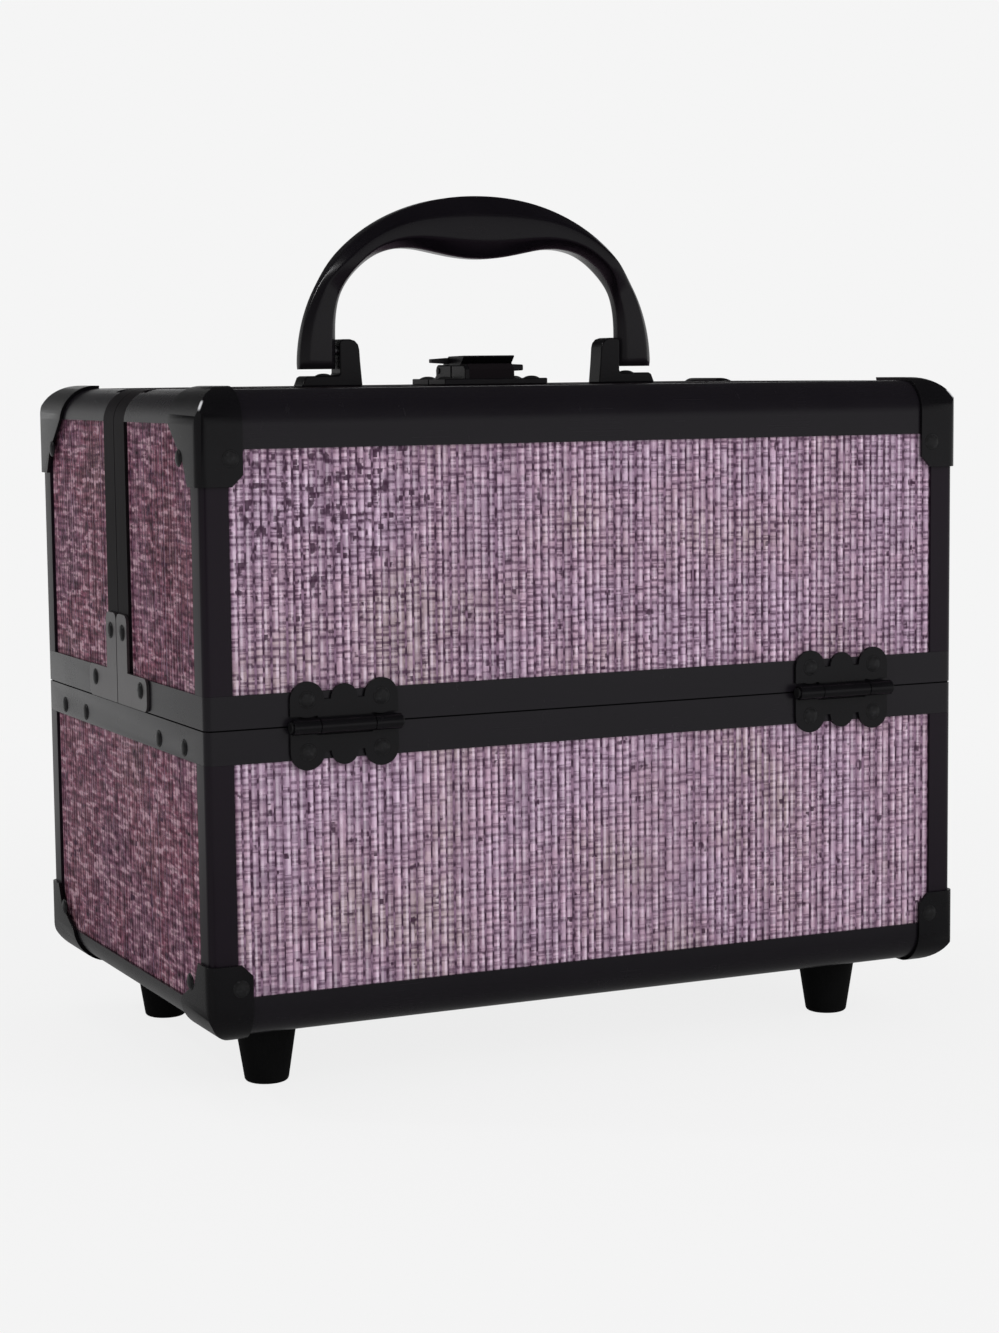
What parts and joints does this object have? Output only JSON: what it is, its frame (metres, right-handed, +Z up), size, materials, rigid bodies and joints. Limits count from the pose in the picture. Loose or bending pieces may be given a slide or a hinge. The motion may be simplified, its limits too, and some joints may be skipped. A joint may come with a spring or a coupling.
{
  "type": "cosmetic train case",
  "caption": "Box-shaped cosmetics case with outward opening lids, swing-out trays, a black metal frame, lilac cell-patterned panels, a folding top handle and rubber feet",
  "frame": {"origin": "on the floor, under the middle of the case", "axes": "+X along the width, -Y towards the front lid's hinges, +Z up"},
  "size_m": [0.3042, 0.1994, 0.318],
  "materials": {
    "crystal_board": "board faced with a lilac foil of small bright cells",
    "black_frame": "satin black anodised profile",
    "black_hardware": "satin black sheet and castings",
    "steel": "zinc plated",
    "lining": "short black nap",
    "black_board": "board with black foil",
    "tray_plastic": "fine grained black plastic",
    "handle_plastic": "smooth black moulding",
    "rubber": "matt black"
  },
  "bodies": {
    "base": {"base_front_panel": "crystal_board", "base_back_panel": "crystal_board", "base_left_panel": "crystal_board", "base_right_panel": "crystal_board", "base_floor_panel": "black_board", "base_lining": "lining", "base_rim": "black_frame", "base_corner_posts": "black_frame", "base_bottom_rails": "black_frame", "base_corner_caps": "black_hardware", "base_rivets": "black_hardware", "rubber_feet": "rubber", "foot_screws": "steel", "base_hinge_leaves": "black_hardware", "hinge_pins": "black_hardware", "base_arm_brackets": "steel"},
    "front_lid": {"front_lid_face_panel": "crystal_board", "front_lid_top_panel": "crystal_board", "front_lid_left_panel": "crystal_board", "front_lid_right_panel": "crystal_board", "front_lid_lining": "lining", "front_lid_edge_rails": "black_frame", "front_lid_posts": "black_frame", "front_lid_lower_rim": "black_frame", "front_lid_split_rim": "black_frame", "front_lid_corner_caps": "black_hardware", "front_lid_joint_plates": "black_hardware", "front_lid_rivets": "black_hardware", "front_lid_hinge_leaves": "black_hardware", "front_lid_tray_brackets": "steel", "latch_keeper": "black_hardware"},
    "back_lid": {"back_lid_face_panel": "crystal_board", "back_lid_top_panel": "crystal_board", "back_lid_left_panel": "crystal_board", "back_lid_right_panel": "crystal_board", "back_lid_lining": "lining", "back_lid_edge_rails": "black_frame", "back_lid_posts": "black_frame", "back_lid_lower_rim": "black_frame", "back_lid_split_rim": "black_frame", "back_lid_corner_caps": "black_hardware", "back_lid_joint_plates": "black_hardware", "back_lid_rivets": "black_hardware", "back_lid_hinge_leaves": "black_hardware", "back_lid_tray_brackets": "steel", "latch_base": "black_hardware", "latch_pin": "steel", "handle_mounts": "black_hardware", "handle_pins": "steel"},
    "handle": {"handle": "handle_plastic"},
    "latch_lever": {"latch_lever": "black_hardware"},
    "front_long_arms": {"front_long_arms": "steel"},
    "front_short_arms": {"front_short_arms": "steel"},
    "front_lower_tray": {"front_lower_tray": "tray_plastic"},
    "front_upper_tray": {"front_upper_tray": "tray_plastic"},
    "back_long_arms": {"back_long_arms": "steel"},
    "back_short_arms": {"back_short_arms": "steel"},
    "back_lower_tray": {"back_lower_tray": "tray_plastic"},
    "back_upper_tray": {"back_upper_tray": "tray_plastic"}
  },
  "joints": [
    {"name": "front_lid_hinge", "type": "hinge", "parent": "base", "child": "front_lid", "pos_m": [0, -0.097, 0.1315], "axis": [1, 0, 0], "range_deg": [0, 90]},
    {"name": "front_long_arm_pivot", "type": "hinge", "parent": "base", "child": "front_long_arms", "pos_m": [0, -0.0715, 0.1237], "axis": [1, 0, 0], "range_deg": [0, 90]},
    {"name": "front_short_arm_pivot", "type": "hinge", "parent": "base", "child": "front_short_arms", "pos_m": [0, -0.044, 0.1237], "axis": [1, 0, 0], "range_deg": [0, 90]},
    {"name": "front_lower_tray_pivot", "type": "hinge", "parent": "front_long_arms", "child": "front_lower_tray", "pos_m": [0, -0.0445, 0.1457], "axis": [1, 0, 0], "range_deg": [-90, 0]},
    {"name": "front_upper_tray_pivot", "type": "hinge", "parent": "front_long_arms", "child": "front_upper_tray", "pos_m": [0, -0.0133, 0.1777], "axis": [1, 0, 0], "range_deg": [-90, 0]},
    {"name": "back_lid_hinge", "type": "hinge", "parent": "base", "child": "back_lid", "pos_m": [0, 0.097, 0.1315], "axis": [-1, 0, 0], "range_deg": [0, 90]},
    {"name": "back_long_arm_pivot", "type": "hinge", "parent": "base", "child": "back_long_arms", "pos_m": [0, 0.0715, 0.1237], "axis": [-1, 0, 0], "range_deg": [0, 90]},
    {"name": "back_short_arm_pivot", "type": "hinge", "parent": "base", "child": "back_short_arms", "pos_m": [0, 0.044, 0.1237], "axis": [-1, 0, 0], "range_deg": [0, 90]},
    {"name": "back_lower_tray_pivot", "type": "hinge", "parent": "back_long_arms", "child": "back_lower_tray", "pos_m": [0, 0.0445, 0.1457], "axis": [-1, 0, 0], "range_deg": [-90, 0]},
    {"name": "back_upper_tray_pivot", "type": "hinge", "parent": "back_long_arms", "child": "back_upper_tray", "pos_m": [0, 0.0133, 0.1777], "axis": [-1, 0, 0], "range_deg": [-90, 0]},
    {"name": "handle_fold", "type": "hinge", "parent": "back_lid", "child": "handle", "pos_m": [0, 0.009, 0.2595], "axis": [-1, 0, 0], "range_deg": [0, 90]},
    {"name": "latch_lever_hinge", "type": "hinge", "parent": "back_lid", "child": "latch_lever", "pos_m": [0, 0.012, 0.2514], "axis": [-1, 0, 0], "range_deg": [0, 95]}
  ],
  "couplings": [
    {"joint": "front_long_arm_pivot", "follows": "front_lid_hinge", "ratio": 1},
    {"joint": "front_short_arm_pivot", "follows": "front_lid_hinge", "ratio": 1},
    {"joint": "front_lower_tray_pivot", "follows": "front_lid_hinge", "ratio": -1},
    {"joint": "front_upper_tray_pivot", "follows": "front_lid_hinge", "ratio": -1},
    {"joint": "back_long_arm_pivot", "follows": "back_lid_hinge", "ratio": 1},
    {"joint": "back_short_arm_pivot", "follows": "back_lid_hinge", "ratio": 1},
    {"joint": "back_lower_tray_pivot", "follows": "back_lid_hinge", "ratio": -1},
    {"joint": "back_upper_tray_pivot", "follows": "back_lid_hinge", "ratio": -1}
  ]
}
